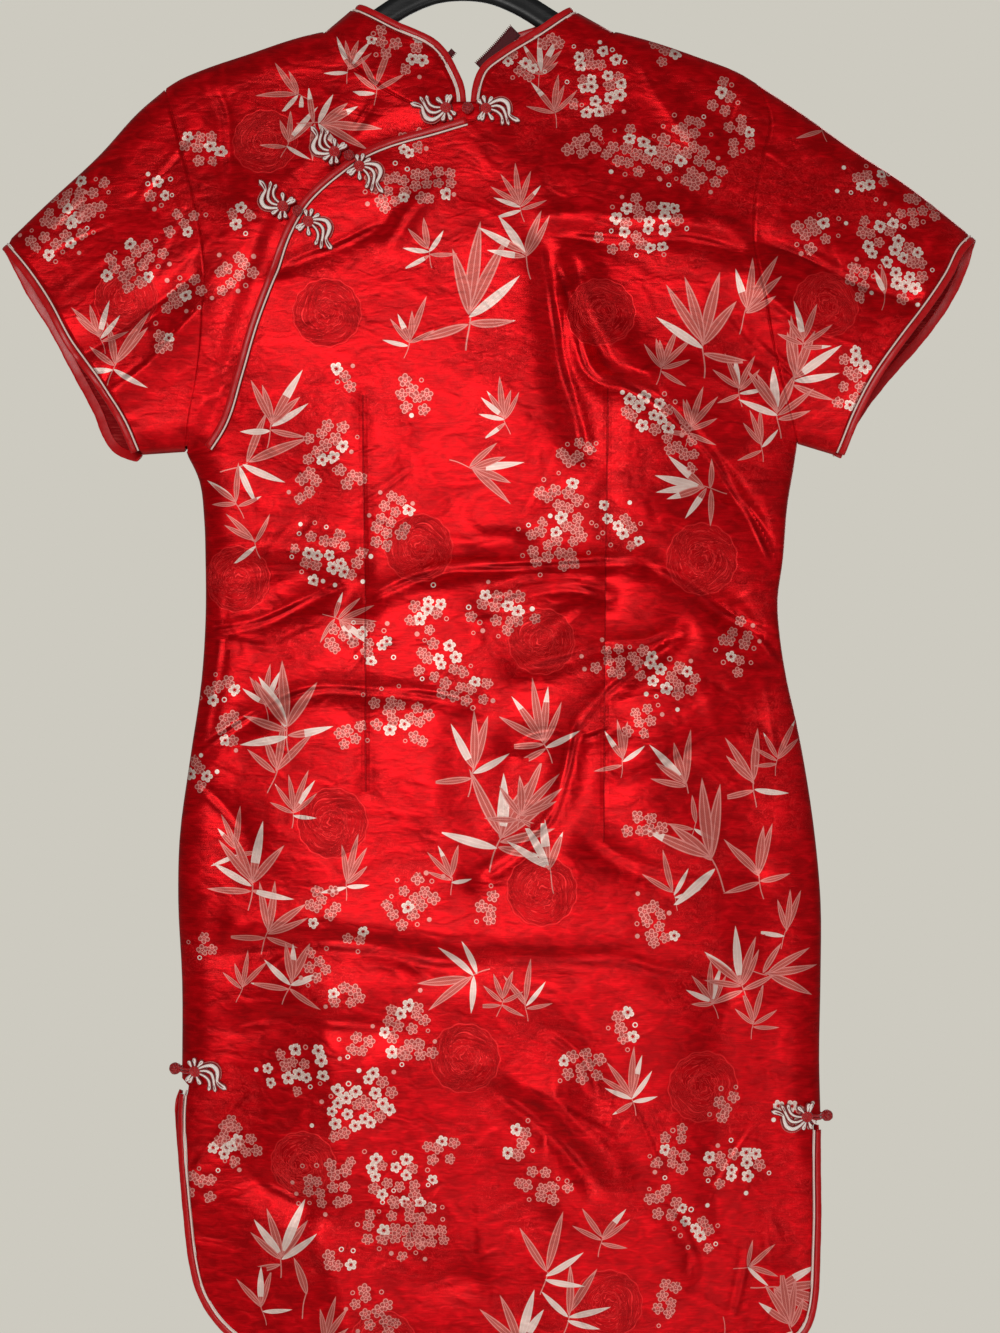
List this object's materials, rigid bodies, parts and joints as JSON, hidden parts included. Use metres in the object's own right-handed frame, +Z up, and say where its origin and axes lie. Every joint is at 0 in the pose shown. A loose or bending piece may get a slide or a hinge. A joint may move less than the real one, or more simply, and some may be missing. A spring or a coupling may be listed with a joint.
{
  "type": "cheongsam dress on a hanger",
  "caption": "Red brocade cheongsam dress with stand collar, curved side opening, frog fastenings, short sleeves and side slits, on a black hanger.",
  "frame": {"origin": "the top of the inside of the hanger's hook, where it rests on a rail", "axes": "+Z up, -Y out of the dress's front, +X to the right of someone looking at the front"},
  "size_m": [0.7489, 0.0705, 1.1404],
  "materials": {
    "red_satin": "satin brocade with woven blossoms and bamboo",
    "binding_satin": "rolled satin",
    "white_piping": "satin cord",
    "frog_cord": "white and dark red satin cord",
    "frog_knot": "knotted satin cord",
    "zip_tape": "woven",
    "zip_metal": "satin",
    "hanger_plastic": "satin",
    "hook_steel": "bright"
  },
  "bodies": {
    "dress": {"front_main": "red_satin", "front_shoulder": "red_satin", "back_left": "red_satin", "back_right": "red_satin", "sleeve_left": "red_satin", "sleeve_right": "red_satin", "collar_left": "red_satin", "collar_right": "red_satin", "binding_opening": "binding_satin", "binding_collar_left": "binding_satin", "binding_collar_right": "binding_satin", "binding_cuff_left": "binding_satin", "binding_cuff_right": "binding_satin", "binding_hem_front": "binding_satin", "binding_hem_back": "binding_satin", "piping_opening": "white_piping", "piping_collar_left": "white_piping", "piping_collar_right": "white_piping", "piping_cuff_left": "white_piping", "piping_cuff_right": "white_piping", "piping_hem_front": "white_piping", "piping_hem_back": "white_piping", "frog_collar_left": "frog_cord", "frog_collar_right": "frog_cord", "frog_chest1_left": "frog_cord", "frog_chest1_right": "frog_cord", "frog_chest2_left": "frog_cord", "frog_chest2_right": "frog_cord", "frog_slitleft_front": "frog_cord", "frog_slitleft_back": "frog_cord", "frog_slitright_front": "frog_cord", "frog_slitright_back": "frog_cord", "frog_collar_knot": "frog_knot", "frog_chest1_knot": "frog_knot", "frog_chest2_knot": "frog_knot", "frog_slitleft_knot": "frog_knot", "frog_slitright_knot": "frog_knot", "zip_tape_left": "zip_tape", "zip_tape_right": "zip_tape", "zip_slider": "zip_metal", "hanger_body": "hanger_plastic", "hanger_hook": "hook_steel"},
    "pull_tab": {"zip_pull": "zip_metal"}
  },
  "joints": [
    {"name": "pull_tab_swing", "type": "hinge", "parent": "dress", "child": "pull_tab", "pos_m": [-0.0026, 0.02669, -0.304], "axis": [1, 0, 0], "range_deg": [0, 150]}
  ]
}
